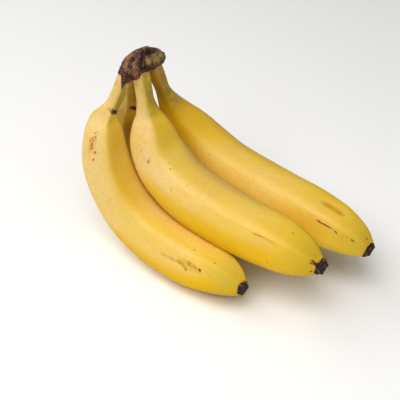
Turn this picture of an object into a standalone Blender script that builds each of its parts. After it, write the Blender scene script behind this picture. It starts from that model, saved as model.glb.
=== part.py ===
"""A hand of four Cavendish bananas, joined at a cut brown crown and lying on its convex backs.

Two fingers lie on the ground, the left one and the one underneath, and the other two lie on them.
Each finger runs from its thin pedicel under the crown, through the neck, to its dried flower end.
Metres, +Z up, with the fingertips towards +X. The origin is the middle of the footprint, on the ground.
"""

import bmesh
import bpy
import numpy as np

MM = 0.001

# Driving dimensions, in millimetres
HAND_CENTRE = (43.7, -31.1, 0.0)  # the middle of the hand in the frame that the routes are given in
GAP = 0.3                         # left between pieces that touch
SIDES = 30                        # facets round a finger, six for each of its five faces
RINGS = 46                        # rings along a finger
CURVE_STEPS = 1500                # fine steps that a centreline is measured in
RESTING = ("left", "under")       # the fingers that lie on the ground, pressed flat where they meet it
GROUND_BLOCK = (400, 300, 50)     # larger than the hand on every side

# The dried flower ends: mean radius, length, and the share of the radius at shares of the length
TIP_SIDES = 20
TIP_LENGTH = 4.6
TIP_GIRTH = 4.3
TIP_SWELL = [(0, 0.88), (0.25, 0.96), (0.6, 1.02), (0.85, 0.92), (1, 0.66)]
TIP_LOBES = 0.07                  # depth of the five lobes, as a share of the radius

# Each finger: the middle line from the crown to the flower end, and the mean radius at shares of its length.
# turn is the angle of its first flat face, measured from its right side.
FINGERS = {
    "left": {
        "route": [
            (-18.8, -46.6, 114.5), (-18.4, -51.7, 106), (-20, -58, 97), (-23, -61, 87), (-24.5, -63, 72),
            (-21.5, -63, 53), (-8.5, -62.5, 30.5), (10, -62, 18.5), (30, -62.5, 15.3), (50, -63, 14.8),
            (67, -63, 17.0), (83.5, -63, 18.6),
        ],
        "girth": [
            (0, 3.2), (0.04, 4.1), (0.10, 4.3), (0.14, 6.2), (0.175, 9.2), (0.24, 12.1), (0.33, 14.1),
            (0.43, 15.2), (0.56, 15.9), (0.74, 15.7), (0.85, 14.4), (0.93, 11.9), (0.975, 9.0), (1, 6.0),
        ],
        "turn": 2,
    },
    "middle": {
        "route": [
            (-14, -38, 116), (-10, -39, 98), (-8, -39, 88), (-5.5, -39, 76), (-2.5, -39, 66),
            (5, -39, 55.5), (22, -39, 45.5), (45, -39, 41), (68, -39, 39.6), (92, -39, 40.2), (108, -39, 40),
            (119.6, -39, 39.8),
        ],
        "girth": [
            (0, 5), (0.09, 5.3), (0.145, 7.2), (0.185, 10.8), (0.23, 13.6), (0.29, 15.6), (0.39, 18.0),
            (0.5, 18.7), (0.64, 18.4), (0.77, 17.4), (0.87, 15.5), (0.94, 12.3), (0.98, 8.9), (1, 6.0),
        ],
        "turn": 22,
    },
    "right": {
        "route": [
            (-13.5, -29.5, 121), (-13.2, -20.2, 97), (-14, -12, 79), (-9.5, -5.5, 64), (4, -1.5, 50),
            (24, -0.5, 41.5), (50, -0.5, 38), (80, -1, 37), (104, -1.5, 36.6), (119, -2, 35.1),
            (128.8, -2, 33.4),
        ],
        "girth": [
            (0, 4.2), (0.12, 3.9), (0.18, 4.9), (0.235, 8.6), (0.29, 12.8), (0.36, 15.4), (0.46, 16.7),
            (0.61, 17.0), (0.77, 16.6), (0.88, 14.6), (0.945, 11.8), (0.98, 8.7), (1, 5.9),
        ],
        "turn": 22,
    },
    "under": {
        "route": [
            (-24, -36, 114), (-24.5, -36, 98), (-25.5, -35, 85), (-30.5, -30, 71), (-34, -24.5, 56),
            (-33.5, -21, 41), (-26.5, -19.5, 25.5), (-12, -19, 15), (8, -19, 12.4), (30, -19, 12.4),
            (48, -19, 13.9), (64, -19, 16.5),
        ],
        "girth": [
            (0, 4.2), (0.12, 4.4), (0.16, 6.2), (0.205, 9.0), (0.285, 11.5), (0.39, 13.1), (0.51, 13.7),
            (0.7, 13.5), (0.84, 12.3), (0.93, 10.0), (0.975, 7.4), (1, 5.4),
        ],
        "turn": 54,
    },
}

# How square a finger's section is at shares of its length: 4 is nearly round, 9 is five plain faces.
EDGE = [(0, 7.5), (0.2, 8.0), (0.45, 5.2), (0.7, 5.2), (0.92, 7.5), (1, 8.5)]

# The crown is two lumps about one middle: a broad lobe over three fingers and a knob over the right one.
# Each is what is left between hewn faces, given as a direction and a distance from the middle.
CROWN_MIDDLE = (-15, -36, 118.5)
CROWN_LOBE = [
    ((-0.75, -0.42, 0.51), 9.2),
    ((-0.58, 0.04, 0.81), 7.3),
    ((-0.49, -0.86, -0.11), 12.4),
    ((-0.08, -0.77, 0.64), 8.6),
    ((0.62, -0.66, 0.42), 7.6),
    ((0.34, -0.63, -0.70), 9.2),
    ((0.79, -0.15, -0.60), 7.2),
    ((0.91, 0.32, -0.26), 2.7),
    ((0.08, 0.76, 0.64), 8.6),
    ((-0.68, 0.50, -0.54), 10.0),
]
CROWN_KNOB = [
    ((-0.07, 0.54, 0.84), 10.6),
    ((-0.63, -0.03, 0.78), 7.6),
    ((0.45, 0.74, 0.50), 14.8),
    ((0.88, 0.42, -0.22), 12.2),
    ((0.74, -0.23, -0.63), 4.8),
    ((0.79, -0.29, 0.54), 8.6),
    ((0.19, -0.23, 0.95), 8.4),
    ((-0.77, -0.64, 0.00), 6.0),
    ((-0.41, 0.73, -0.55), 9.0),
]
CROWN_EDGE = 11.0  # how sharp the edges between hewn faces are
CROWN_JOIN = 14.0  # how sharp the valley between the two lumps is

COLOURS = {
    "peel": ((0.82, 0.56, 0.10), 0.42),
    "crown": ((0.11, 0.065, 0.04), 0.8),
    "dried": ((0.035, 0.022, 0.02), 0.85),
}


def clear_scene():
    """Removes whatever the scene holds."""
    for old in list(bpy.data.objects):
        bpy.data.objects.remove(old, do_unlink=True)


def material(name):
    """One Principled material of this piece's colour and roughness."""
    colour, roughness = COLOURS[name]
    made = bpy.data.materials.new(name)
    made.use_nodes = True
    shader = made.node_tree.nodes["Principled BSDF"]
    shader.inputs["Base Color"].default_value = (*colour, 1)
    shader.inputs["Roughness"].default_value = roughness
    shader.inputs["Metallic"].default_value = 0
    return made


def natural_cubic(knots, values, at):
    """The natural cubic spline through values at knots, read at the given places."""
    knots = np.asarray(knots, float)
    values = np.asarray(values, float)
    step = np.diff(knots)
    slope = np.diff(values, axis=0) / step[:, None]
    count = len(knots)
    matrix = np.eye(count)
    right = np.zeros_like(values)
    for i in range(1, count - 1):
        matrix[i, i - 1:i + 2] = step[i - 1], 2 * (step[i - 1] + step[i]), step[i]
        right[i] = 6 * (slope[i] - slope[i - 1])
    bend = np.linalg.solve(matrix, right)
    i = np.clip(np.searchsorted(knots, at) - 1, 0, count - 2)
    a = ((knots[i + 1] - at) / step[i])[:, None]
    b = 1 - a
    curve = (a ** 3 - a) * bend[i] + (b ** 3 - b) * bend[i + 1]
    return a * values[i] + b * values[i + 1] + curve * (step[i] ** 2 / 6)[:, None]


def steady_curve(table, at):
    """A smooth curve through (place, value) pairs that never swings past them."""
    x, y = np.array(table, float).T
    step = np.diff(x)
    slope = np.diff(y) / step
    tangent = np.zeros_like(y)
    same_way = slope[1:] * slope[:-1] > 0
    tangent[1:-1][same_way] = (2 * slope[1:] * slope[:-1] / (slope[1:] + slope[:-1] + 1e-12))[same_way]
    tangent[0] = slope[0]
    tangent[-1] = slope[-1]
    i = np.clip(np.searchsorted(x, at) - 1, 0, len(step) - 1)
    t = (at - x[i]) / step[i]
    rise = y[i] * (1 - t) ** 2 * (1 + 2 * t) + y[i + 1] * t ** 2 * (3 - 2 * t)
    return rise + step[i] * t * (1 - t) * (tangent[i] * (1 - t) - tangent[i + 1] * t)


def centreline(route, count):
    """Evenly spaced points on the smooth curve through a route, with their directions, in millimetres."""
    points = np.array(route, float) - np.array(HAND_CENTRE)
    chord = np.linalg.norm(np.diff(points, axis=0), axis=1)
    knots = np.concatenate([[0], np.cumsum(np.sqrt(chord))])
    fine = natural_cubic(knots, points, np.linspace(0, knots[-1], CURVE_STEPS))
    run = np.concatenate([[0], np.cumsum(np.linalg.norm(np.diff(fine, axis=0), axis=1))])
    places = np.linspace(0, run[-1], count)
    middle = np.stack([np.interp(places, run, fine[:, k]) for k in range(3)], axis=1)
    direction = np.gradient(middle, axis=0)
    return middle, direction / np.linalg.norm(direction, axis=1, keepdims=True)


def five_faced(angles, edge):
    """Radius, 1 on average, of a soft pentagon, whose corners round off as edge falls."""
    faces = np.arange(5) * 2 * np.pi / 5
    towards = np.maximum(np.cos(angles[..., None] - faces), 0)
    radius = (towards ** edge[..., None]).sum(axis=-1) ** (-1 / edge)
    return radius / radius.mean(axis=-1, keepdims=True)


def rings_round(middle, direction, radius):
    """Points at each ring's radii round its middle; angle 0 is the side towards +Y."""
    side = np.array([0.0, 1.0, 0.0]) - direction * direction[:, 1:2]
    side /= np.linalg.norm(side, axis=1, keepdims=True)
    over = np.cross(direction, side)
    angles = np.linspace(0, 2 * np.pi, radius.shape[1], endpoint=False)[None, :, None]
    outward = side[:, None] * np.cos(angles) + over[:, None] * np.sin(angles)
    return middle[:, None] + outward * radius[..., None]


def new_mesh(name, points, faces):
    """A smooth-shaded mesh, in metres, from points in millimetres."""
    mesh = bpy.data.meshes.new(name)
    mesh.from_pydata((points * MM).tolist(), [], faces)
    mesh.validate()
    mesh.shade_smooth()
    return mesh


def loft(name, rings):
    """A closed mesh from a grid of points, ring by ring, with a flat face over each end."""
    count, sides = rings.shape[:2]
    faces = []
    for i in range(count - 1):
        for j in range(sides):
            k = (j + 1) % sides
            faces.append((i * sides + j, i * sides + k, (i + 1) * sides + k, (i + 1) * sides + j))
    faces.append(tuple(range(sides - 1, -1, -1)))
    faces.append(tuple((count - 1) * sides + j for j in range(sides)))
    return new_mesh(name, rings.reshape(-1, 3), faces)


def place(mesh, collection, skin):
    """An object for this mesh in the collection, with its material if it has one."""
    made = bpy.data.objects.new(mesh.name, mesh)
    collection.objects.link(made)
    if skin:
        mesh.materials.append(skin)
    return made


def finger_mesh(name, finger):
    """A banana: a five-faced tube along its route, whose neck and tip are thinner and more angular."""
    middle, direction = centreline(finger["route"], RINGS)
    share = np.linspace(0, 1, RINGS)
    girth = steady_curve(finger["girth"], share)
    edge = np.repeat(steady_curve(EDGE, share)[:, None], SIDES, axis=1)
    angles = np.linspace(0, 2 * np.pi, SIDES, endpoint=False) - np.radians(finger["turn"])
    section = five_faced(np.broadcast_to(angles, (RINGS, SIDES)), edge)
    return loft(name, rings_round(middle, direction, girth[:, None] * section))


def dried_tip_mesh(name, finger):
    """The shrivelled flower end: a short, five-lobed plug that carries on from the finger's tip."""
    middle, direction = centreline(finger["route"], RINGS)
    share, swell = np.array(TIP_SWELL).T
    ahead = direction[-1]
    line = middle[-1] + ahead * (GAP + share[:, None] * TIP_LENGTH)
    angles = np.linspace(0, 2 * np.pi, TIP_SIDES, endpoint=False) - np.radians(finger["turn"])
    lobes = 1 - TIP_LOBES * np.cos(5 * angles)
    radius = TIP_GIRTH * swell[:, None] * lobes
    return loft(name, rings_round(line, np.tile(ahead, (len(share), 1)), radius))


def hewn_reach(towards, faces, grow):
    """How far out a lump's surface is in each direction, where its faces are moved out by grow."""
    normals = np.array([face for face, _ in faces], float)
    normals /= np.linalg.norm(normals, axis=1, keepdims=True)
    distance = np.array([far for _, far in faces]) + grow
    facing = np.maximum(towards @ normals.T / distance, 0)
    return (facing ** CROWN_EDGE).sum(axis=1) ** (-1 / CROWN_EDGE)


def crown_mesh(name, grow=0.0):
    """The cut cushion: a fine ball whose every point goes out to the further of the two lumps' surfaces."""
    ball = bmesh.new()
    bmesh.ops.create_icosphere(ball, subdivisions=4, radius=1)
    towards = np.array([vert.co for vert in ball.verts])
    towards /= np.linalg.norm(towards, axis=1, keepdims=True)
    lobe = hewn_reach(towards, CROWN_LOBE, grow)
    knob = hewn_reach(towards, CROWN_KNOB, grow)
    radius = (lobe ** CROWN_JOIN + knob ** CROWN_JOIN) ** (1 / CROWN_JOIN)
    points = towards * radius[:, None] + np.array(CROWN_MIDDLE) - np.array(HAND_CENTRE)
    for vert, point in zip(ball.verts, points * MM):
        vert.co = point
    mesh = bpy.data.meshes.new(name)
    ball.to_mesh(mesh)
    ball.free()
    mesh.shade_smooth()
    return mesh


def ground_block(name):
    """What lies below the ground: it presses the lowest bellies flat."""
    size = np.array(GROUND_BLOCK) * MM
    block = bmesh.new()
    bmesh.ops.create_cube(block, size=1)
    bmesh.ops.scale(block, vec=size, verts=block.verts)
    bmesh.ops.translate(block, vec=(0, 0, -size[2] / 2), verts=block.verts)
    mesh = bpy.data.meshes.new(name)
    block.to_mesh(mesh)
    block.free()
    return mesh


def cut(target, cutter):
    """Takes the cutter's shape out of the target."""
    boolean = target.modifiers.new("less_" + cutter.name, "BOOLEAN")
    boolean.operation = "DIFFERENCE"
    boolean.solver = "EXACT"
    boolean.object = cutter


def as_cutter(cutter):
    """Shows a cutter as wire only."""
    cutter.hide_render = True
    cutter.display_type = "WIRE"
    return cutter


def build():
    """The whole hand: the crown, and each finger with its dried flower end."""
    clear_scene()
    hand = bpy.data.collections.new("banana_hand")
    cutters = bpy.data.collections.new("cutters")
    bpy.context.scene.collection.children.link(hand)
    bpy.context.scene.collection.children.link(cutters)
    peel = material("peel")
    dried = material("dried")

    place(crown_mesh("crown"), hand, material("crown"))
    socket = as_cutter(place(crown_mesh("crown_clearance", GAP), cutters, None))
    ground = as_cutter(place(ground_block("ground"), cutters, None))

    for name, finger in FINGERS.items():
        banana = place(finger_mesh("banana_" + name, finger), hand, peel)
        cut(banana, socket)
        if name in RESTING:
            cut(banana, ground)
        place(dried_tip_mesh("dried_tip_" + name, finger), hand, dried)


build()
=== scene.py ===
# A hand of ripe bananas on a pale floor. Every banana, the crown and the dried flower ends are made anew
# here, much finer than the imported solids, and each stands for the solid whose form it keeps.
import math
import bpy
import numpy as np
from mathutils import Matrix


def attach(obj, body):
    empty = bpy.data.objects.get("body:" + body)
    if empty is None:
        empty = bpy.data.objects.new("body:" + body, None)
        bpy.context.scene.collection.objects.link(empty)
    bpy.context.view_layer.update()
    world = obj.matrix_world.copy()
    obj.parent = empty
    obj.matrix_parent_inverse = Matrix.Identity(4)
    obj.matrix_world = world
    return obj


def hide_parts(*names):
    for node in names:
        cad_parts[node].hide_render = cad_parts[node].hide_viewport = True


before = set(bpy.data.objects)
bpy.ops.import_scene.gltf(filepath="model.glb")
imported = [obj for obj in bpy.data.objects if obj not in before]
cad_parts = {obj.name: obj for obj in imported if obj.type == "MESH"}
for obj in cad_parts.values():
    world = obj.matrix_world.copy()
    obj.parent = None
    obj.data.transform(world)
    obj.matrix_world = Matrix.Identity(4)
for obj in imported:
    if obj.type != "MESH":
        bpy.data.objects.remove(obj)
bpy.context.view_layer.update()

mm = 0.001
handCentre = np.array([43.7, -31.1, 0.0])  # the middle of the footprint, in the millimetres of the routes
noiseValues = 4096  # random values that the noise picks from
cellPrimes = np.array([73856093, 19349663, 83492791])  # they scatter neighbouring cells over those values
lineSteps = 1500  # straight steps that stand for a smooth middle line


# Noise and curves

def softNoise(points, size, seed):
    # from -1 to 1: random values at the corners of cubes of this size, blended by a fifth power curve
    place = np.asarray(points, float) / size
    cell = np.floor(place).astype(np.int64)
    part = place - cell
    part = part ** 3 * (part * (part * 6 - 15) + 10)
    values = np.random.default_rng(seed).uniform(-1, 1, noiseValues)
    total = 0.0
    for corner in range(8):
        step = np.array([corner & 1, corner >> 1 & 1, corner >> 2 & 1])
        weight = np.where(step == 1, part, 1 - part).prod(axis=-1)
        key = (cell + step) @ cellPrimes
        total = total + weight * values[(key ^ key >> 13) & (noiseValues - 1)]
    return total


def addNoise(base, points, layers, seed):
    # base plus the noise of each layer (size, height), with seeds counted up from this one
    for number, (size, height) in enumerate(layers):
        base = base + height * softNoise(points, size, seed + number)
    return base


def naturalCubic(knots, values, at):
    # the natural cubic spline through values at knots: it bends evenly and is straight at its ends
    step = np.diff(knots)
    slope = np.diff(values, axis=0) / step[:, None]
    matrix = np.eye(len(knots))
    right = np.zeros_like(values)
    for i in range(1, len(knots) - 1):
        matrix[i, i - 1:i + 2] = step[i - 1], 2 * (step[i - 1] + step[i]), step[i]
        right[i] = 6 * (slope[i] - slope[i - 1])
    bend = np.linalg.solve(matrix, right)
    i = np.clip(np.searchsorted(knots, at) - 1, 0, len(knots) - 2)
    a = ((knots[i + 1] - at) / step[i])[:, None]
    b = 1 - a
    pull = ((a ** 3 - a) * bend[i] + (b ** 3 - b) * bend[i + 1]) * (step[i] ** 2 / 6)[:, None]
    return a * values[i] + b * values[i + 1] + pull


def steadyCurve(table, at):
    # a smooth curve through (place, value) pairs that never swings past them
    x, y = np.array(table, float).T
    step = np.diff(x)
    slope = np.diff(y) / step
    tangent = np.zeros_like(y)
    same = slope[1:] * slope[:-1] > 0
    tangent[1:-1][same] = 2 * (slope[1:] * slope[:-1])[same] / (slope[1:] + slope[:-1])[same]
    tangent[0], tangent[-1] = slope[0], slope[-1]
    i = np.clip(np.searchsorted(x, at) - 1, 0, len(step) - 1)
    t = np.clip((at - x[i]) / step[i], 0, 1)
    rise = y[i] * (1 - t) ** 2 * (1 + 2 * t) + y[i + 1] * t ** 2 * (3 - 2 * t)
    return rise + step[i] * t * (1 - t) * (tangent[i] * (1 - t) - tangent[i + 1] * t)


def roundCurve(table, angles):
    # a closed curve through (angle in degrees, value) pairs, read at angles in degrees
    x, y = np.array(sorted(table), float).T
    return steadyCurve(list(zip([*x, x[0] + 360], [*y, y[0]])), (angles - x[0]) % 360 + x[0])


def middleLine(route, shares):
    # points at these shares of the smooth curve through a route, their directions and the curve's length;
    # the curve is carried on straight past its ends
    points = np.array(route, float) - handCentre
    knots = np.concatenate([[0], np.cumsum(np.sqrt(np.linalg.norm(np.diff(points, axis=0), axis=1)))])
    fine = naturalCubic(knots, points, np.linspace(0, knots[-1], lineSteps))
    run = np.concatenate([[0], np.cumsum(np.linalg.norm(np.diff(fine, axis=0), axis=1))])
    places = shares * run[-1]
    middle = np.stack([np.interp(places, run, fine[:, k]) for k in range(3)], axis=1)
    ahead = np.stack([np.interp(places, run, np.gradient(fine[:, k], run)) for k in range(3)], axis=1)
    ahead /= np.linalg.norm(ahead, axis=1, keepdims=True)
    past = np.minimum(places, 0) + np.maximum(places - run[-1], 0)
    return middle + ahead * past[:, None], ahead, run[-1]


def sideways(ahead):
    # two directions across the line: side towards +Y, and over above it where the line runs along +X
    side = np.array([0.0, 1.0, 0.0]) - ahead * ahead[:, 1:2]
    side /= np.linalg.norm(side, axis=1, keepdims=True)
    return side, np.cross(ahead, side)


def smooth(low, high, value):
    # 0 up to low, 1 from high, and t * t * (3 - 2 * t) between them, where t is the share of the way
    t = np.clip((value - low) / (high - low), 0, 1)
    return t * t * (3 - 2 * t)


# Meshes

def tubeMesh(name, grid, material, stands):
    # quads between neighbouring rings of a grid of points, and a fan to a middle point over each end
    rings, sides = grid.shape[:2]
    points = np.concatenate([grid.reshape(-1, 3), grid[:1].mean(axis=1), grid[-1:].mean(axis=1)]) * mm
    i, j = np.meshgrid(np.arange(rings - 1), np.arange(sides), indexing="ij")
    k = (j + 1) % sides
    here, after = i * sides, (i + 1) * sides
    quads = np.stack([here + j, here + k, after + k, after + j], axis=-1).reshape(-1, 4)
    j = np.arange(sides)
    k = (j + 1) % sides
    lastRing = (rings - 1) * sides
    first = np.stack([k, j, np.full(sides, rings * sides)], axis=-1)
    last = np.stack([lastRing + j, lastRing + k, np.full(sides, rings * sides + 1)], axis=-1)
    mesh = bpy.data.meshes.new(name)
    mesh.vertices.add(len(points))
    mesh.vertices.foreach_set("co", points.astype(np.float32).ravel())
    corners = np.concatenate([quads.ravel(), first.ravel(), last.ravel()])
    totals = np.concatenate([np.full(len(quads), 4), np.full(2 * sides, 3)])
    mesh.loops.add(len(corners))
    mesh.loops.foreach_set("vertex_index", corners.astype(np.int32))
    mesh.polygons.add(len(totals))
    mesh.polygons.foreach_set("loop_start", (np.cumsum(totals) - totals).astype(np.int32))
    mesh.polygons.foreach_set("loop_total", totals.astype(np.int32))
    mesh.update(calc_edges=True)
    mesh.validate()
    mesh.shade_smooth()
    mesh.materials.append(material)
    piece = bpy.data.objects.new(name, mesh)
    bpy.context.scene.collection.objects.link(piece)
    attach(piece, "root")
    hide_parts(stands)
    return piece


def keepOnMesh(piece, name, values):
    # stores one number or one vector for each point, with the end points given their ring's mean
    values = np.asarray(values, float)
    vector = values.ndim == 3
    flat = values.reshape(-1, 3) if vector else values.reshape(-1)
    flat = np.concatenate([flat, values[:1].mean(axis=1), values[-1:].mean(axis=1)])
    attribute = piece.data.attributes.new(name, "FLOAT_VECTOR" if vector else "FLOAT", "POINT")
    attribute.data.foreach_set("vector" if vector else "value", flat.astype(np.float32).ravel())


# Materials

class Nodes:
    # short calls that add one node each to a material and wire or set its inputs
    def __init__(self, name):
        self.material = bpy.data.materials.new(name)
        self.material.use_nodes = True
        self.tree = self.material.node_tree
        self.shader = self.tree.nodes["Principled BSDF"]

    def wire(self, socket, value):
        if isinstance(value, bpy.types.NodeSocket):
            self.tree.links.new(value, socket)
        elif isinstance(value, tuple) and len(socket.default_value) == 4:
            socket.default_value = (*value, 1)
        else:
            socket.default_value = value

    def attribute(self, name, vector=False):
        node = self.tree.nodes.new("ShaderNodeAttribute")
        node.attribute_name = name
        return node.outputs["Vector" if vector else "Fac"]

    def objectPlace(self):
        return self.tree.nodes.new("ShaderNodeTexCoord").outputs["Object"]

    def scaled(self, vector, scale):
        node = self.tree.nodes.new("ShaderNodeMapping")
        self.wire(node.inputs["Vector"], vector)
        node.inputs["Scale"].default_value = scale
        return node.outputs[0]

    def spot(self, vector, place, turn, halves):
        # distance from a place, where 1 is the edge of an ellipsoid turned there with these half lengths
        node = self.tree.nodes.new("ShaderNodeMapping")
        node.vector_type = "TEXTURE"
        self.wire(node.inputs["Vector"], vector)
        node.inputs["Location"].default_value = place
        node.inputs["Rotation"].default_value = turn
        node.inputs["Scale"].default_value = halves
        return self.vectors("LENGTH", node.outputs[0])

    def noise(self, vector, scale, detail=3.0, rough=0.5, bend=0.0, output="Fac"):
        node = self.tree.nodes.new("ShaderNodeTexNoise")
        self.wire(node.inputs["Vector"], vector)
        settings = {"Scale": scale, "Detail": detail, "Roughness": rough, "Distortion": bend}
        for key, value in settings.items():
            node.inputs[key].default_value = value
        return node.outputs[output]

    def cells(self, vector, scale):
        # distance to the nearest of scattered points, and a random colour for each
        node = self.tree.nodes.new("ShaderNodeTexVoronoi")
        self.wire(node.inputs["Vector"], vector)
        node.inputs["Scale"].default_value = scale
        return node.outputs["Distance"], node.outputs["Color"]

    def math(self, kind, a, b=0.0):
        node = self.tree.nodes.new("ShaderNodeMath")
        node.operation = kind
        self.wire(node.inputs[0], a)
        self.wire(node.inputs[1], b)
        return node.outputs[0]

    def vectors(self, kind, a, b=(0.0, 0.0, 0.0)):
        node = self.tree.nodes.new("ShaderNodeVectorMath")
        node.operation = kind
        self.wire(node.inputs[0], a)
        if isinstance(b, float):
            node.inputs["Scale"].default_value = b
        else:
            self.wire(node.inputs[1], b)
        return node.outputs["Value" if kind in ("LENGTH", "DISTANCE") else "Vector"]

    def between(self, value, low, high, toLow=0.0, toHigh=1.0):
        node = self.tree.nodes.new("ShaderNodeMapRange")
        node.interpolation_type = "SMOOTHSTEP"
        self.wire(node.inputs["Value"], value)
        for key, number in (("From Min", low), ("From Max", high), ("To Min", toLow), ("To Max", toHigh)):
            node.inputs[key].default_value = number
        return node.outputs["Result"]

    def mix(self, share, a, b, blend="MIX"):
        node = self.tree.nodes.new("ShaderNodeMix")
        node.data_type = "RGBA"
        node.blend_type = blend
        self.wire(node.inputs["Factor"], share)  # inputs 6 and 7 and output 2 are the colours
        self.wire(node.inputs[6], a)
        self.wire(node.inputs[7], b)
        return node.outputs[2]

    def ramp(self, value, stops):
        node = self.tree.nodes.new("ShaderNodeValToRGB")
        self.wire(node.inputs[0], value)
        band = node.color_ramp
        while len(band.elements) < len(stops):
            band.elements.new(0.5)
        for element, (place, colour) in zip(band.elements, stops):
            element.position = place
            element.color = (*colour, 1)
        return node.outputs[0]

    def bump(self, height, strength, distance, under=None):
        node = self.tree.nodes.new("ShaderNodeBump")
        self.wire(node.inputs["Height"], height)
        node.inputs["Strength"].default_value = strength
        node.inputs["Distance"].default_value = distance
        if under is not None:
            self.wire(node.inputs["Normal"], under)
        return node.outputs[0]


# The bananas. A route is the middle line from the crown to the flower end, and girth is the radius at
# shares of it. Angles are in degrees round it: 0 is towards +Y and 90 is the top. Turn is where the first
# of the five faces looks, twist how far the stalk is turned against the body, and faces how flat the
# faces are. Hem is how far the peel reaches past the middle line's end, plug how far the dried flower end
# stands out of it, and a flat banana is pressed against the floor. CrownEdge is how far the crown's brown
# skin reaches down the stalk at angles round it. A scar is (along, angle, half width in degrees, tilt,
# sag). A mark is (along, angle, length, width, turn, strength), in millimetres and degrees, and so is a
# husk, a tan patch on the crown's skin. The sheen bands, a paler cream on the faces turned towards the
# light, are painted sheen, and the shade bands, a deeper yellow in the creases between the bananas and on
# their lower flanks, are painted shade. The dull brown marks of one kind, on the right banana's stalk and
# over the under banana, are painted shadow, and the long pink band along the upper right edge of the
# middle and right bananas is a painted reflection.

leftBanana = {
    "route": [
        (-18.8, -46.6, 114.5), (-18.4, -51.7, 106), (-20, -58, 97), (-23, -61, 87), (-24.2, -62.8, 72),
        (-21.2, -62.8, 53), (-8.1, -61.9, 31.0), (10.4, -61.4, 19.1), (30.3, -61.7, 16.1),
        (50.1, -62.1, 15.8), (67, -62.4, 17.7), (83.5, -63, 18.7),
    ],
    "girth": [
        (-0.02, 1.8), (0, 3.1), (0.04, 3.8), (0.10, 4.0), (0.14, 6.1), (0.175, 9.6), (0.24, 12.6),
        (0.33, 14.6), (0.43, 15.7), (0.56, 16.5), (0.74, 16.6), (0.85, 15.0), (0.93, 12.2), (0.975, 9.0),
        (1, 6.0),
    ],
    "turn": 12, "twist": 13, "seed": 11, "flat": True, "sides": 160, "hem": 1.4, "plug": 1.7,
    "faces": 1.25,
    "crownEdge": [
        (0, 3.0), (56, 3.8), (101, 4.9), (119, 6.8), (130, 8.6), (142, 5.7), (155, 2.6), (176, 0.8),
        (230, 0.4),
    ],
    "scars": [(21.9, 82, 60, 0.9, 0.2)],
    "paintedSheen": [
        [
            (0, 180, 0.4), (0.08, 180, 0.6), (0.2, 172, 1.0), (0.35, 170, 0.8), (0.55, 162, 0.55),
            (0.8, 150, 0.4), (0.92, 140, 0.1), (1, 140, 0),
        ],
        [
            (0, 70, 0), (0.2, 70, 0.1), (0.35, 62, 0.2), (0.48, 60, 0.4), (0.6, 58, 0.65),
            (0.85, 62, 0.45), (1, 60, 0),
        ],
    ],
    "paintedShade": [
        [
            (0, 60, 0), (0.05, 60, 0.3), (0.12, 75, 0.4), (0.2, 75, 0.55), (0.3, 65, 0.2), (0.45, 50, 0),
            (1, 30, 0),
        ],
        [(0, 225, 0), (0.4, 225, 0), (0.6, 212, 1.0), (0.9, 200, 1.0), (1, 195, 0.6)],
    ],
    "marks": {
        "brown": [
            (60.2, 108, 0.9, 0.8, 0, 0.8), (22.4, 236, 1.5, 1.2, 0, 0.7),
            (157.6, 106, 1.7, 1.1, 20, 0.85), (173.6, 110, 1.1, 0.9, 0, 0.8),
            (167.1, 144, 2.6, 1.9, 70, 1.0), (157.3, 157, 1.6, 1.1, 30, 0.7),
            (43.0, 169, 1.6, 0.8, 15, 0.8), (47.2, 157, 1.2, 0.8, 0, 0.7), (13.3, 119, 0.8, 0.7, 0, 0.6),
        ],
        "red": [
            (35.2, 164, 1.6, 1.0, 40, 0.8), (37.6, 161, 2.1, 1.1, 10, 0.85),
            (39.3, 172, 1.6, 1.2, -25, 0.8), (40.9, 175, 2.4, 1.0, -20, 0.85),
            (42.6, 169, 3.0, 1.5, 15, 0.95), (44.6, 167, 2.3, 1.6, 40, 0.95),
            (47.2, 157, 2.1, 1.5, 0, 0.95), (46.0, 171, 1.4, 1.1, 0, 0.7), (51.9, 162, 2.0, 1.5, 0, 0.9),
            (40.4, 166, 1.6, 1.0, 50, 0.75), (21.3, 140, 1.8, 5.0, 0, 0.6),
        ],
        "scratch": [
            (133.4, 151, 5.0, 1.2, 0, 0.2), (139.8, 151, 7.0, 1.6, 0, 0.35),
            (146.3, 148, 6.0, 2.0, 0, 0.55), (152.3, 146, 7.0, 2.4, 0, 0.9),
            (159.5, 140, 6.0, 2.6, 10, 0.95), (156.5, 152, 5.0, 2.2, 20, 0.9),
            (163.8, 142, 5.0, 1.8, 30, 0.9), (41.5, 167, 12.0, 3.4, 15, 0.4),
        ],
        "tan": [
            (158.0, 145, 18.0, 6.0, 8, 0.5), (144.0, 149.5, 14.0, 2.6, 0, 0.25),
            (43, 167, 14, 5, 10, 0.25),
        ],
        "pink": [(5.5, 205, 6.0, 4.0, 0, 0.6), (12, 140, 16, 8, 0, 0.22)],
        "olive": [(12, 130, 19, 9, 0, 0.12)],
    },
}
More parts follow.
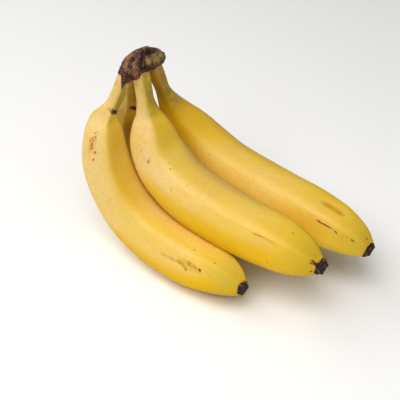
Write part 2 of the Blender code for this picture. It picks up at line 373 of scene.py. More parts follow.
middleBanana = {
    "route": [
        (-14, -38, 116), (-10, -39, 98), (-8, -39, 88), (-5.5, -39, 76), (-2.5, -39, 66), (5, -39, 55.5),
        (22, -39.3, 45.2), (45, -39.4, 40.6), (68, -39.4, 39.2), (92, -39.2, 40.0), (108, -39, 40),
        (119.6, -39, 39.8),
    ],
    "girth": [
        (-0.02, 3.2), (0, 4.8), (0.09, 4.8), (0.145, 6.7), (0.185, 10.5), (0.23, 13.6), (0.29, 15.6),
        (0.39, 17.8), (0.5, 18.2), (0.64, 17.9), (0.77, 17.1), (0.87, 15.4), (0.94, 12.3), (0.98, 8.9),
        (1, 6.0),
    ],
    "turn": 22, "twist": 0, "seed": 22, "flat": False, "sides": 160, "hem": 1.0, "plug": 3.0,
    "faces": 1.0,
    "crownEdge": [
        (0, 2.0), (81, 1.6), (121, 1.3), (133, 2.0), (146, 3.7), (164, 5.1), (184, 5.8), (205, 5.5),
        (270, 4.0),
    ],
    "husk": [(2.2, 166, 8.0, 4.6, 0, 0.85)],
    "scars": [],
    "paintedSheen": [
        [
            (0, 165, 0.5), (0.05, 165, 0.8), (0.15, 170, 1.0), (0.28, 172, 1.0), (0.42, 164, 1.0),
            (0.52, 152, 0.7), (0.65, 140, 0.45), (0.85, 130, 0.2), (1, 130, 0),
        ],
        [(0, 95, 0), (0.25, 95, 0), (0.4, 80, 0.12), (0.6, 92, 0.4), (0.85, 100, 0.2), (1, 100, 0)],
    ],
    "paintedShade": [
        [(0, 215, 0), (0.22, 215, 0), (0.4, 202, 0.9), (0.6, 195, 1), (0.85, 192, 0.9), (1, 185, 0.5)],
    ],
    "marks": {
        "brown": [
            (164.1, 90, 1.2, 1.0, 0, 0.8), (47.2, 171, 1.3, 0.9, 0, 0.7), (54.8, 157, 3.2, 1.0, 45, 0.8),
            (55.6, 160, 2.8, 0.9, -50, 0.8), (69.8, 124, 1.3, 1.1, 0, 0.85),
            (90.3, 124, 0.9, 0.8, 0, 0.75), (158.3, 184, 1.0, 0.9, 0, 0.7), (12.1, 144, 0.9, 0.8, 0, 0.7),
            (182.4, 184, 1.6, 1.3, 0, 0.9), (182.0, 138, 3.4, 1.2, -20, 0.9),
            (181.6, 131, 2.2, 1.0, 30, 0.7),
        ],
        "dark": [(182.6, 128, 3.8, 1.2, 25, 0.95), (184.2, 133, 2.2, 2.6, 0, 0.9)],
        "scratch": [
            (149.6, 134, 10.0, 1.2, -4, 0.75), (157.0, 134, 7.0, 1.0, 4, 0.5),
            (81.9, 148, 3.2, 0.7, 0, 0.6), (82.6, 151, 2.4, 0.5, 0, 0.5),
        ],
        "tan": [(152.0, 134, 18.0, 2.6, 0, 0.25), (55.0, 158, 4.0, 3.2, 0, 0.3)],
        # the long second pink mark is a painted reflection, a greyish band along the upper right edge
        "pink": [(8.5, 190, 4.0, 3.5, 0, 0.5), (95, 66, 86, 11, 0, 0.25)],
    },
}
rightBanana = {
    "route": [
        (-13.5, -29.5, 121), (-13.8, -20.7, 97), (-14.2, -12.2, 79), (-9.7, -5.7, 64), (4, -1.5, 50),
        (24, -0.5, 41.5), (50, -0.5, 38), (80, -1, 37), (104, -1.5, 36.6), (119, -2, 35.1),
        (129.7, -2, 33.25),
    ],
    "girth": [
        (-0.02, 2.0), (0, 3.4), (0.03, 4.5), (0.06, 4.6), (0.12, 4.2), (0.18, 5.5), (0.235, 8.8),
        (0.29, 12.7), (0.36, 15.2), (0.46, 16.4), (0.61, 16.8), (0.77, 16.6), (0.88, 14.7), (0.945, 11.5),
        (0.98, 8.7), (1, 5.9),
    ],
    "turn": 22, "twist": 0, "seed": 33, "flat": False, "sides": 160, "hem": 0.9, "plug": 2.2,
    "faces": 1.0,
    "crownEdge": [(0, 6.0), (52, 7.2), (63, 7.2), (97, 6.3), (151, 6.7), (220, 8.0), (300, 7.0)],
    "scars": [],
    "paintedSheen": [
        [(0, 90, 0), (0.3, 120, 0.15), (0.45, 125, 0.35), (0.6, 122, 0.5), (0.8, 115, 0.3), (1, 115, 0)],
        [
            (0, 190, 0), (0.3, 190, 0.1), (0.45, 195, 0.5), (0.6, 192, 0.5), (0.75, 185, 0.3),
            (0.9, 180, 0), (1, 180, 0),
        ],
    ],
    "paintedShade": [
        [
            (0, 130, 0.3), (0.12, 140, 0.8), (0.2, 145, 1.0), (0.3, 152, 0.9), (0.42, 170, 0.35),
            (0.55, 188, 0.2), (0.75, 182, 0.4), (1, 170, 0.3),
        ],
        [
            (0, 100, 0), (0.12, 100, 0.5), (0.22, 100, 0.5), (0.32, 105, 0.8), (0.42, 100, 0.6),
            (0.55, 100, 0), (1, 100, 0),
        ],
    ],
    "marks": {
        "brown": [
            (204.0, 139, 2.6, 1.2, 0, 0.85), (209.1, 92, 1.5, 1.2, 0, 0.8), (44.2, 119, 1.1, 0.9, 0, 0.7),
            (59.7, 133, 1.0, 0.8, 0, 0.65), (74.5, 130, 0.8, 0.8, 0, 0.6), (94.2, 137, 1.2, 0.9, 0, 0.65),
            (194.0, 144, 2.8, 0.9, 25, 0.9), (186.8, 142, 11.5, 1.1, 0, 0.95),
            (183.4, 141, 4.5, 1.6, 6, 0.8), (181.5, 97.5, 6.0, 1.1, -4, 0.4),
            (187.5, 95, 7.0, 1.2, 4, 0.45),
        ],
        "smudge": [(182.0, 96, 9.0, 3.6, -4, 0.9), (188.2, 95, 9.0, 3.0, 0, 0.85)],
        "tan": [(185.0, 95.5, 17.0, 5.5, -3, 0.6)],
        # painted shadow: the stalk's shaded left side painted dull brown
        "paintedShadowOchre": [(14, 150, 44, 9, 0, 0.5)],
        # the long second pink mark is a painted reflection, a greyish band along the upper right edge; the
        # first is a faint pink spot
        "pink": [(40.4, 68, 2.5, 2.0, 0, 0.35), (100, 66, 80, 10, 0, 0.2)],
    },
}
underBanana = {
    "route": [
        (-24, -36, 114), (-24.5, -36, 98), (-25.5, -35, 85), (-30.5, -30, 71), (-34, -24.5, 56),
        (-33.5, -21, 41), (-26.5, -19.5, 25.5), (-12, -19, 15), (8, -19, 12.4), (30, -19, 12.4),
        (48, -19, 13.9), (64, -19, 16.5),
    ],
    "girth": [
        (-0.02, 1.8), (0, 3.2), (0.03, 4.2), (0.12, 4.4), (0.16, 6.2), (0.205, 9.0), (0.285, 11.5),
        (0.39, 13.1), (0.51, 13.7), (0.7, 13.5), (0.84, 12.3), (0.93, 10.0), (0.975, 7.4), (1, 5.4),
    ],
    "turn": 54, "twist": 0, "seed": 44, "flat": True, "sides": 130, "hem": 1.2, "plug": 2.0, "faces": 1.0,
    "crownEdge": [(0, 8.0), (101, 9.8), (115, 8.7), (130, 8.3), (148, 9.8), (240, 7.0)],
    "scars": [(27.5, 124, 24, 0.3, 0.3)],
    "paintedSheen": [[(0, 150, 0), (1, 150, 0)]],
    "paintedShade": [[(0, 100, 0.5), (1, 100, 0.5)]],
    "marks": {
        "brown": [(90, 250, 2, 1, 0, 0.7), (120, 300, 2, 1.4, 0, 0.7)],
        # painted shadow: the under banana painted dull brown where the others shade it
        "paintedShadowOchre": [(60, 150, 74, 24, 0, 0.9), (42, 188, 36, 16, 0, 0.85), (25, 188, 22, 15, 0, 0.5)],
    },
}
peelShape = {
    "rings": 500,
    "hidden": (-0.02, -0.01),   # shares of the first two rings, 2 to 4 mm inside the crown
    "crowding": (1.6, 1.4),     # how much closer the rings stand along the stalk and at the flower end
    # how plain the five faces are at shares of the length
    "edge": [(0, 7.5), (0.2, 8.0), (0.45, 4.4), (0.7, 4.3), (0.92, 7.5), (1, 8.5)],
    "twistEnds": (0.12, 0.26),  # shares between which the stalk's twist dies out
    "taper": 0.55,              # loss of radius for each millimetre past the middle line's end
    "stalk": (5.0, 9.5),        # radius up to which it is all stalk, and from which it is all body
    "ridge": (0.16, 1.2),       # height and half width of the fine line along each of the five corners
    "dents": [(24.0, 0.28), (7.0, 0.07)],   # size and height of the broad dents and of the small ones
    "creases": (0.16, 1.2),     # depth and width of the creases along the stalk
    "folds": (0.22, 1.6),       # depth and width of the folds at the flower end
    "foldsReach": (1.0, 7.0),   # they fade out between these distances from it
    "stalkPaintedShadeAt": 50.0,            # the side where the stalks' olive is strongest: painted shade, away from the light
    "skin": 0.5,                # thickness of the crown's skin on the stalk
    "ragged": [(1.3, 0.45), (0.6, 0.25)],   # size and depth of each layer of its ragged edge
    "scar": (0.7, 0.75),        # depth and half thickness of the groove at a neck scar
    "lip": (0.6, 1.5, 0.9),     # its lip: height as a share of the depth, distance and half thickness
}


def fiveFaced(angles, edge):
    # radius, 1 on average, of a soft pentagon:
    # (sum of the cosines to the five faces, each to the power edge) ^ (-1 / edge)
    faces = np.arange(5) * 2 * np.pi / 5
    towards = np.maximum(np.cos(angles[..., None] - faces), 0)
    radius = (towards ** edge[..., None]).sum(axis=-1) ** (-1 / edge)
    return radius / radius.mean(axis=-1, keepdims=True)


# the bands are painted sheen and painted shade
def bandMask(bands, share, angles):
    # a band runs along the banana as (share, angle of its middle, strength): it is full up to 14 degrees
    # from its middle and gone at 57, which are the two cosines
    mask = 0.0
    for band in bands:
        middle = steadyCurve([(at, angle) for at, angle, _ in band], share)[:, None]
        strength = steadyCurve([(at, amount) for at, _, amount in band], share)[:, None]
        mask = np.maximum(mask, strength * smooth(0.55, 0.97, np.cos(angles - np.radians(middle))))
    return mask


def ringShares(past):
    # shares of the middle line where the rings stand: closer together along the stalk and at the flower
    # end, the first two inside the crown, and the last past the middle line's end
    alongStalk, atEnd = peelShape["crowding"]
    even = np.linspace(0, 1 + past, 2000)
    crowd = 1 + alongStalk * (1 - smooth(0.10, 0.20, even)) + atEnd * smooth(0.93, 0.97, even)
    run = np.concatenate([[0], np.cumsum((crowd[1:] + crowd[:-1]) / 2)])
    places = np.linspace(0, run[-1], peelShape["rings"] - len(peelShape["hidden"]))
    return np.concatenate([peelShape["hidden"], np.interp(places, run, even)])


def bananaSkin(banana):
    # at each share of the middle line and each angle round it: the girth there, times the five-faced
    # section, plus a fine ridge on each corner, dents, creases along the stalk, folds at the flower end, the
    # crown's skin where it reaches down the stalk, and a groove with a raised lip at each neck scar
    look = peelShape
    length = middleLine(banana["route"], np.array([0.0, 1.0]))[2]
    share = ringShares(banana["hem"] / length)
    middle, ahead, length = middleLine(banana["route"], share)
    side, over = sideways(ahead)
    angles = np.linspace(0, 2 * np.pi, banana["sides"], endpoint=False)
    degrees = np.degrees(angles)
    outward = side[:, None] * np.cos(angles)[:, None] + over[:, None] * np.sin(angles)[:, None]
    edge = np.repeat(banana["faces"] * steadyCurve(look["edge"], share)[:, None], banana["sides"], axis=1)
    turn = banana["turn"] + banana["twist"] * (1 - smooth(*look["twistEnds"], share))
    fromFace = angles - np.radians(turn)[:, None]
    loss = look["taper"] * np.maximum(share - 1, 0) * length
    girth = (steadyCurve(banana["girth"], share) - loss)[:, None]
    radius = girth * fiveFaced(fromFace, edge)
    along = np.broadcast_to(share[:, None] * length, radius.shape)
    toEnd = length + banana["hem"] - along
    toCorner = np.abs(fromFace % (2 * np.pi / 5) - np.pi / 5)
    ridgeHeight, ridgeHalf = look["ridge"]
    ridge = np.exp(-(toCorner * radius / ridgeHalf) ** 2)
    stalk = (1 - smooth(*look["stalk"], girth)) * (share[:, None] < 0.5) * np.ones_like(radius)
    # the stalks are a little olive all round and fully olive on one side: that side's extra olive is painted
    # shade
    oliveWithPaintedShade = 0.2 + 0.8 * smooth(-0.3, 0.7, np.cos(angles - math.radians(look["stalkPaintedShadeAt"])))
    # the same points on a straightened banana, where marks are placed, and its own place in the noise
    straight = np.stack([along, np.cos(angles) * radius, np.sin(angles) * radius], axis=-1)
    own = straight + 100.0 * banana["seed"]
    dents = addNoise(0.0, own, look["dents"], 1)
    creaseDepth, creaseWidth = look["creases"]
    creases = creaseDepth * softNoise(own * [0.12, 1, 1], creaseWidth, 3)
    foldDepth, foldWidth = look["folds"]
    atEnd = 1 - smooth(*look["foldsReach"], toEnd)
    folds = foldDepth * softNoise(own * [0.15, 1, 1], foldWidth, 4) * atEnd
    # how far inside the crown's skin, with a ragged edge
    tissue = addNoise(roundCurve(banana["crownEdge"], degrees) - along, own, look["ragged"], 5)
    lift = look["skin"] * smooth(-0.15, 0.45, tissue) * (1 + 0.5 * softNoise(own * [0.25, 1, 1], 0.8, 7))
    radius = radius + ridgeHeight * ridge * (0.5 + 0.8 * stalk) + dents * (1 - 0.7 * stalk)
    radius = radius + creases * stalk + folds
    radius = radius + lift
    depth, half = look["scar"]
    lipHeight, lipAway, lipHalf = look["lip"]
    olive, scar, halo = stalk * oliveWithPaintedShade, np.zeros_like(radius), np.zeros_like(radius)
    for place, angle, wide, tilt, sag in banana["scars"]:
        near = ((degrees - angle + 180) % 360 - 180) / wide  # 1 and -1 at the scar's two ends
        window = 1 - smooth(0.8, 1.1, np.abs(near) + 0.25 * softNoise(own, 2.0, 9))
        past = along - (place - tilt * near + sag * near ** 2 + 0.2 * softNoise(own, 1.5, 8))
        olive = olive * (1 - 0.85 * (1 - smooth(0.9, 1.3, np.abs(near))) * smooth(-0.5, 0.8, past))
        radius = radius - depth * window * np.exp(-(past / half) ** 2)
        radius = radius + lipHeight * depth * window * np.exp(-((past + lipAway) / lipHalf) ** 2)
        stained = half * (1.7 + 0.7 * softNoise(own, 1.8, 10))
        scar = np.maximum(scar, window * (1 - smooth(0.6, 1.3, np.abs(past) / stained)))
        glow = (1 - smooth(0.7, 1.4, np.abs(near))) * np.exp(-((past + 0.8) / 1.6) ** 2)
        halo = np.maximum(halo, glow)
    points = middle[:, None] + outward * radius[..., None]
    if banana["flat"]:
        points[..., 2] = np.maximum(points[..., 2], 0.0)
    # two of the masks are painted light: the sheen bands, painted sheen, and the shade bands, painted shade
    masks = {
        "stalk": olive, "ridge": ridge, "tissue": tissue, "toEnd": toEnd, "scar": scar, "halo": halo,
        "paintedSheen": bandMask(banana["paintedSheen"], share, angles), "paintedShade": bandMask(banana["paintedShade"], share, angles),
    }
    return {"points": points, "straight": straight, "ahead": ahead[-1], "end": middle[-1], "masks": masks}


# The crown: a broad lobe and a knob about one middle, each what is left between hewn faces, given as
# (direction, distance). Spots are places on its cut faces, seen from in front: (across, up, half length,
# half width, turn, strength, height). Hollow ones are dark, and of the bare ones only the heights count.

crownLook = {
    "middle": (-15, -36, 118.5),  # in the millimetres of the routes
    "across": (0.766, 0.643, 0.0),  # this direction, up and front are as the camera sees it
    "up": (-0.408, 0.486, 0.773),
    "front": (0.497, -0.592, 0.635),
    "lobe": [
        ((-0.75, -0.42, 0.51), 9.2), ((-0.58, 0.04, 0.81), 7.3), ((-0.49, -0.86, -0.11), 12.4),
        ((-0.08, -0.77, 0.64), 8.6), ((0.62, -0.66, 0.42), 7.6), ((0.34, -0.63, -0.70), 9.2),
        ((0.79, -0.15, -0.60), 7.2), ((0.91, 0.32, -0.26), 2.7), ((0.08, 0.76, 0.64), 8.6),
        ((-0.68, 0.50, -0.54), 10.0),
    ],
    "knob": [
        ((-0.07, 0.54, 0.84), 10.6), ((-0.63, -0.03, 0.78), 7.6), ((0.45, 0.74, 0.50), 14.8),
        ((0.88, 0.42, -0.22), 12.2), ((0.74, -0.23, -0.63), 4.8), ((0.79, -0.29, 0.54), 8.6),
        ((0.19, -0.23, 0.95), 8.4), ((-0.77, -0.64, 0.00), 6.0), ((-0.41, 0.73, -0.55), 9.0),
    ],
    "edge": 11.0, "join": 14.0,  # how sharply faces meet, and the two lumps
    "rings": 300, "sides": 240,
    "lumps": [(3.4, 0.22), (1.5, 0.30), (0.7, 0.17)],  # size and height of each layer of roughness
    "fibres": (0.24, 0.85),  # height and width of the fibres that run down it
    "wander": [(1.7, 0.55), (0.7, 0.2)],  # size and reach of each layer of the spots' ragged edges
    "frontFrom": (-4.5, -1.5),  # behind these depths the spots are gone, and in front of them full
    "spots": {
        "tan": [
            (-6.6, 2.6, 2.8, 1.5, 30, 1.0, 0.35), (-8.6, -1.6, 3.6, 1.5, 80, 1.0, 0.35),
            (-3.0, -2.6, 3.2, 1.2, 75, 0.95, 0.3), (-5.0, -6.4, 1.8, 1.2, 0, 0.7, 0.25),
            (-1.6, 5.6, 2.0, 0.7, 15, 0.5, 0.15), (-2.6, -5.8, 3.4, 1.8, 80, 0.85, 0.35),
            (-7.6, -4.6, 1.6, 0.8, 70, 0.6, 0.2),
        ],
        "olive": [
            (4.5, 0.5, 2.5, 1.6, 88, 1.0, -0.3), (9.2, 1.4, 2.4, 2.0, 60, 1.0, -0.3),
            (11.3, 4.2, 1.9, 1.2, 50, 0.8, -0.2), (7.6, 4.3, 1.3, 1.0, 0, 0.6, -0.2),
        ],
        "pink": [
            (2.6, 8.9, 3.6, 1.1, 0, 0.9, 0.1), (11.6, 6.6, 2.8, 1.2, -35, 1.0, 0.3),
            (13.2, 3.0, 3.0, 1.2, -75, 1.0, 0.3), (8.8, 2.0, 5.2, 3.4, 22, 0.6, 0.0),
            (6.3, -2.3, 1.6, 0.7, -10, 0.6, 0.25), (10.6, -0.6, 1.5, 0.8, 25, 0.6, 0.25),
            (-5.2, 4.6, 1.8, 0.8, 10, 0.6, 0.2), (-1.6, 3.4, 0.8, 0.6, 0, 0.5, 0.1),
            (-8.0, -10.0, 1.0, 2.0, 0, 0.4, 0.1),
        ],
        "hollow": [
            (-4.2, 0.6, 2.0, 1.5, 10, 1.0, -1.5), (-6.3, -3.6, 1.7, 0.5, 85, 0.8, -0.6),
            (0.9, 0.4, 5.0, 1.2, 82, 0.9, -0.7), (4.6, 5.4, 5.0, 1.8, 12, 1.0, -0.35),
            (1.4, 2.2, 4.4, 1.4, 80, 1.0, 0.0), (3.4, -3.6, 4.6, 0.6, 0, 1.0, -0.9),
            (7.2, 0.2, 2.6, 0.4, 80, 0.7, -0.5), (-0.6, 6.4, 1.0, 0.6, 0, 0.6, -0.4),
            (-10.6, -5.5, 3.2, 0.9, 80, 0.5, -0.2),
        ],
        "bare": [
            (6.6, 10.2, 2.2, 1.6, 0, 0, -0.9), (9.4, 8.4, 1.4, 1.4, 0, 0, 0.3),
            (0.6, 9.6, 2.4, 1.4, 15, 0, -0.7), (13.0, 7.4, 1.6, 1.4, 0, 0, -0.3),
        ],
    },
}


def hewnReach(towards, faces):
    # distance to the surface between hewn faces:
    # (sum of (cosine to each face / its distance) ^ edge) ^ (-1 / edge)
    normals = np.array([face for face, _ in faces], float)
    normals /= np.linalg.norm(normals, axis=1, keepdims=True)
    facing = np.maximum(towards @ normals.T / np.array([far for _, far in faces]), 0)
    return (facing ** crownLook["edge"]).sum(axis=-1) ** (-1 / crownLook["edge"])


def crownSkin():
    # directions over a ball with its poles at the left and right, each as long as the further of the two
    # lumps reaches, then roughened by layers of noise, by fibres that run down it and by spots' heights
    look = crownLook
    across, up, front = (np.array(look[key]) for key in ("across", "up", "front"))
    tilt = ((np.arange(look["rings"]) + 0.5) * np.pi / look["rings"])[:, None]
    spin = np.linspace(0, 2 * np.pi, look["sides"], endpoint=False)
    towards = -np.cos(tilt)[..., None] * across + (np.sin(tilt) * np.cos(spin))[..., None] * up
    towards = towards + (np.sin(tilt) * np.sin(spin))[..., None] * front
    towards /= np.linalg.norm(towards, axis=-1, keepdims=True)
    lobe, knob = hewnReach(towards, look["lobe"]), hewnReach(towards, look["knob"])
    radius = (lobe ** look["join"] + knob ** look["join"]) ** (1 / look["join"])
    hewn = towards * radius[..., None]
    seen = np.stack([hewn @ across, hewn @ up, hewn @ front], axis=-1)
    rough = addNoise(0.0, hewn + 50, look["lumps"], 5)
    fibreHeight, fibreWidth = look["fibres"]
    rough = rough + fibreHeight * softNoise(seen * [1, 0.22, 1] + 90, fibreWidth, 9)
    inFront = smooth(*look["frontFrom"], seen[..., 2])
    x = addNoise(seen[..., 0], hewn, look["wander"], 10)
    y = addNoise(seen[..., 1], hewn, look["wander"], 12)
    masks = {}
    for kind, spots in look["spots"].items():
        # patches of each kind at the back, and its placed spots in front
        mask = 0.7 * smooth(0.15, 0.5, softNoise(hewn + 30, 4.5, len(kind))) * (1 - inFront)
        for spotX, spotY, long, wide, turn, strength, height in spots:
            c, s = math.cos(math.radians(turn)), math.sin(math.radians(turn))
            u, v = (x - spotX) * c + (y - spotY) * s, (y - spotY) * c - (x - spotX) * s
            cover = 1 - smooth(0.5, 1.35, np.hypot(u / long, v / wide))
            if kind != "bare":
                cover = cover * inFront
            mask = np.maximum(mask, strength * cover)
            rough = rough + height * cover
        masks[kind] = mask
    masks.pop("bare")
    points = towards * (radius + rough)[..., None] + np.array(look["middle"]) - handCentre
    return {"points": points, "masks": masks}


# The dried flower ends

tipLook = {
    "rings": 90, "sides": 110,
    "girth": 4.3,
    "inside": 0.6, "extra": 0.3,  # how deep in the banana it starts, and what the plug's length gains
    "rim": 0.65,        # share of the rings that make its side; the others make the end face
    "pinch": 0.98,      # how far the end face closes
    "swell": [(0, 0.96), (0.25, 0.98), (0.6, 1.0), (0.85, 0.93), (1, 0.76)],
    "lobes": 0.13,      # depth of its five lobes
    "lumps": [(2.4, 0.95), (1.1, 0.50), (0.5, 0.20)],  # size and height of each layer of roughness
    "folds": (1.3, 0.35),  # width and height of the folds along it
    "hollow": 0.45,     # how far the end face sinks in, as a share of the plug
    "colours": [(0.40, (0.010, 0.006, 0.006)), (0.52, (0.042, 0.022, 0.020)), (0.66, (0.20, 0.135, 0.12))],
}


def tipSkin(banana, skin):
    # a plug carried on from the banana's end: its side is the swell times five lobes, roughened by noise
    # and folds, and its end face closes and sinks in
    look = tipLook
    ahead = skin["ahead"]
    side, over = sideways(ahead[None])
    angles = np.linspace(0, 2 * np.pi, look["sides"], endpoint=False)
    outward = (side * np.cos(angles)[:, None] + over * np.sin(angles)[:, None])[None]
    run = np.linspace(0, 1, look["rings"])[:, None]
    inward = smooth(look["rim"], 1.0, run)
    along = np.minimum(run / look["rim"], 1)
    fromFace = angles - math.radians(banana["turn"])
    size = look["girth"] * steadyCurve(look["swell"], along) * (1 - look["lobes"] * np.cos(5 * fromFace))
    size = size * (1 - look["pinch"] * inward)
    sunk = look["hollow"] * banana["plug"] * np.sin(inward * np.pi / 2) ** 2
    reach = -look["inside"] + along * (banana["plug"] + look["extra"] + look["inside"]) - sunk
    points = skin["end"] + outward * size[..., None] + ahead * reach[..., None]
    rough = addNoise(0.0, points + 7.7 * banana["seed"], look["lumps"], 3)
    stretched = np.stack([size * np.cos(angles), size * np.sin(angles), 0.3 * reach + 0 * size], axis=-1)
    foldWidth, foldHeight = look["folds"]
    folds = foldHeight * softNoise(stretched + 50, foldWidth, 8)
    push = (rough + folds) * smooth(0, 0.15, along) * (1 - 0.9 * inward)
    return points + outward * push[..., None] + ahead * (0.4 * rough * inward)[..., None]


# Peel, crown tissue and dried flower

peelLook = {
    # of these, the cream for the sheen bands is painted sheen, the deep yellow for the shade bands painted
    # shade, and the dull brown for the shaded marks painted shadow
    "deep": (0.79, 0.47, 0.012), "main": (0.81, 0.52, 0.032), "pale": (0.83, 0.57, 0.08),
    "paintedSheen": (0.88, 0.635, 0.29), "paintedShade": (0.80, 0.465, 0.003), "speck": (0.61, 0.37, 0.045),
    "olive": (0.375, 0.252, 0.022), "green": (0.53, 0.36, 0.015), "paintedShadowOchre": (0.41, 0.24, 0.010),
    "brown": (0.26, 0.055, 0.018), "dark": (0.045, 0.022, 0.016), "red": (0.45, 0.12, 0.026),
    "scratch": (0.43, 0.14, 0.020), "smudge": (0.34, 0.16, 0.004),
    "tan": (0.64, 0.35, 0.020), "pink": (0.55, 0.30, 0.16),
    "broad": 26, "mottle": 330, "grain": 1300, "flecks": 130,  # scales of patterns, to the metre
    "streaks": (45, 650, 650),
    "speckShares": (0.24, 0.36),  # how strongly mottle and grain darken the yellow
    "roughness": (0.44, 0.56),
    "subsurface": 0.12, "subsurfaceRadius": (1.0, 0.55, 0.15), "subsurfaceScale": 0.0025,
}
tissueLook = {
    "base": [
        (0.34, (0.024, 0.012, 0.010)), (0.46, (0.066, 0.034, 0.027)), (0.55, (0.125, 0.066, 0.045)),
        (0.68, (0.28, 0.165, 0.100)),
    ],
    "tan": (0.32, 0.160, 0.072), "olive": (0.31, 0.23, 0.040), "pink": (0.25, 0.14, 0.10),
    "hollow": (0.022, 0.011, 0.008),
    "fibres": (1100, 1100, 300), "grain": 900,  # scales of patterns, to the metre
}


def tissueColour(n, place):
    # the crown's skin: purple-brown with paler fibres and specks
    fibres = n.noise(n.scaled(place, tissueLook["fibres"]), 1.0, 5, 0.62, 0.6)
    grain = n.noise(place, tissueLook["grain"], 4, 0.6)
    mixed = n.math("ADD", n.math("MULTIPLY", fibres, 0.6), n.math("MULTIPLY", grain, 0.4))
    return n.ramp(mixed, tissueLook["base"]), mixed


def brokenUp(n, cover, fibres):
    # a patch that shows less where the fibres are dark
    return n.math("MULTIPLY", cover, n.between(fibres, 0.38, 0.55, 0.3, 1.0))


def markCover(n, place, skin, kind, marks):
    # the strongest of a kind's marks at each place; scratches and smudges are broken up by noise
    cover = 0.0
    straight = skin["straight"]
    sides = straight.shape[1]
    for along, angle, long, wide, turn, strength in marks:
        ring = np.abs(straight[:, 0, 0] - along).argmin()
        centre = straight[ring, int(round(angle / 360 * sides)) % sides] * mm
        twist = Matrix.Rotation(math.radians(angle), 3, "X") @ Matrix.Rotation(math.radians(-turn), 3, "Y")
        halves = (long / 2 * mm, max(6, wide / 2) * mm, wide / 2 * mm)
        far = n.spot(place, centre, twist.to_euler("XYZ"), halves)
        cover = n.math("MAXIMUM", n.between(far, 1.25, 0.55, 0, strength), cover)
    if kind in ("scratch", "smudge"):
        cover = n.math("MULTIPLY", cover, n.between(n.noise(place, 1300, 2, 0.6), 0.38, 0.54))
    return cover


